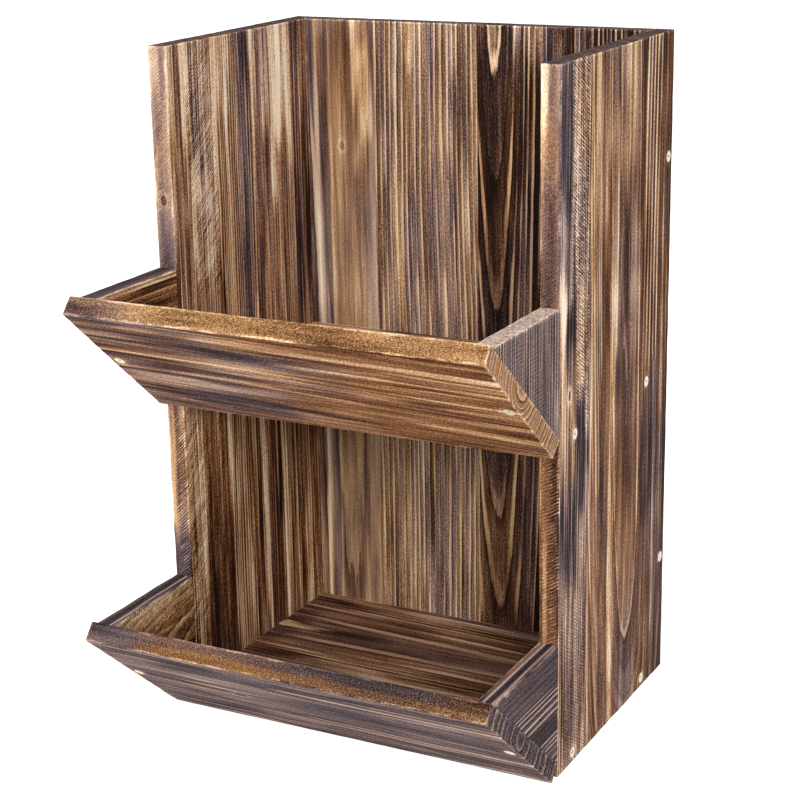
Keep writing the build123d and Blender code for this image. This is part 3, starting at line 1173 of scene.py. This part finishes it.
def fasteners(node, solid, soot, finish):
    name = pieceName(node)
    points, faces = solid
    places = seats[node]
    rng = np.random.default_rng(len(node))
    solids, grain = [], []
    for seat, outward in places:
        turn = np.array(Matrix.Rotation(rng.uniform(0, 2 * pi), 3, "Z"))
        solids.append((placed(points @ turn.T, seat, outward), faces))
        grain.append(points + rng.uniform(-50, 50, 3))
    mesh = joinedMesh(name, solids)
    piece = newObject(name, mesh)
    keepField(mesh, "grain", np.concatenate(grain))
    # soot and painted shade, kept on the mesh for the plate's finish
    keepField(mesh, "soot", np.tile(soot, len(places)))
    mesh.shade_smooth()
    mesh.set_sharp_from_angle(angle=fastenerFold)
    mesh.materials.append(finish)
    handOver(piece, node)
    built.append(piece)


oneScrew, oneDowel = screwSolid(), dowelSolid()
beech = plainBeech("beech")
zinc = zincSteel("zincPlate", {
    "low": (206, 201, 192), "high": (222, 207, 178), "metal": 1.0, "roughness": 0.26,
})
# cream-gold for the front screws: partly yellow plating, partly a painted warm reflection of the wood
yellowZincWarmReflection = zincSteel("yellowZincWarmReflection", {
    "low": (232, 214, 176), "high": (240, 226, 196), "metal": 0.45, "roughness": 0.40,
})
fromAxis, drop = np.hypot(*oneScrew[0].T[:2]), -oneScrew[0][:, 2]
# soot and painted shade in the cross recess, a painted dark ring round the rim of the head, soot on the
# thread
inRecess = (fromAxis < screw["sootShadeReach"]) * np.clip(drop / screw["sootShadeDepth"], 0, 1)
atRim = smooth(screw["head"] - screw["sootShadeRim"], screw["head"], fromAxis)
onThread = drop > screw["rim"] + screw["cone"]
screwSootAndShade = np.where(onThread, screw["threadSoot"], np.maximum(inRecess, atRim))
for node in screwNodes:
    plate = yellowZincWarmReflection if "front" in node else zinc
    fasteners(node, oneScrew, screwSootAndShade, plate)
for node in dowelNodes:
    fasteners(node, oneDowel, np.zeros(len(oneDowel[0])), beech)
print("screws and dowels done:", sum(len(piece.data.polygons) for piece in built), "faces in all")


view = {"lens": 87.5, "azimuth": 27.70, "elevation": 16.94, "roll": -1.10, "spot": (0.6067, -1.1309, 0.625)}


def camera():
    data = bpy.data.cameras.new("camera")
    data.sensor_width = 36.0
    data.lens = view["lens"]
    data.clip_start = 0.05
    eye = newObject("camera", data)
    azimuth, elevation, roll = [radians(view[angle]) for angle in ("azimuth", "elevation", "roll")]
    turn = Euler((pi / 2 - elevation, 0, azimuth)).to_matrix() @ Matrix.Rotation(roll, 3, "Z")
    eye.matrix_world = Matrix.Translation(view["spot"]) @ turn.to_4x4()
    bpy.context.scene.camera = eye


def lamp(name, spot, aim, size, power):
    data = bpy.data.lights.new(name, "AREA")
    data.shape = "DISK"
    data.size = size
    data.energy = power
    light = newObject(name, data)
    light.location = spot
    light.rotation_euler = (Vector(aim) - Vector(spot)).to_track_quat("-Z", "Y").to_euler()


def studio():
    scene = bpy.context.scene
    scene.view_settings.view_transform = "Standard"
    world = bpy.data.worlds.new("studio")
    scene.world = world
    world.use_nodes = True
    tree = world.node_tree
    tree.nodes.clear()
    start = Wire(tree)
    ambient = 0.38  # of the white that the camera sees
    strength = ambient + seenRay(start) * (1 - ambient)
    shader = start.node("ShaderNodeBackground", None, {"Color": (1, 1, 1, 1), "Strength": strength})
    start.node("ShaderNodeOutputWorld", None, {"Surface": shader})
    lamp("key", (1.35, -2.1, 1.3), (0, 0, 0.25), 1.2, 57)
    lamp("fill", (-1.4, -2.0, 0.6), (0, 0, 0.2), 1.6, 24)
    lamp("top", (0.1, -0.3, 2.2), (0, 0, 0.2), 1.6, 16)

    bpy.ops.mesh.primitive_plane_add(size=12)
    floor = bpy.context.object
    floor.name = "floor"
    floor.data.materials.append(floorPaint())


# 1 for what the camera sees straight, in a gloss or through glass
def seenRay(start):
    kinds = ("Is Camera Ray", "Is Glossy Ray", "Is Transmission Ray")
    straight, gloss, glass = [start.node("ShaderNodeLightPath", out=kind) for kind in kinds]
    return straight.math("MAXIMUM", gloss).math("MAXIMUM", glass)


# matt white, with a glow for the camera that grows with the distance
def floorPaint():
    start = freshFinish("floorPaint")
    matt = start.node("ShaderNodeBsdfDiffuse", None, {"Color": (0.9, 0.9, 0.9, 1)})
    far = start.node("ShaderNodeNewGeometry", out=0).length().band(0.4, 1.4, 0.62, 1.0)
    glow = start.node("ShaderNodeEmission", None, {"Color": (1, 1, 1, 1), "Strength": seenRay(start) * far})
    return start.done(start.node("ShaderNodeAddShader", None, {0: matt, 1: glow}))


camera()
studio()
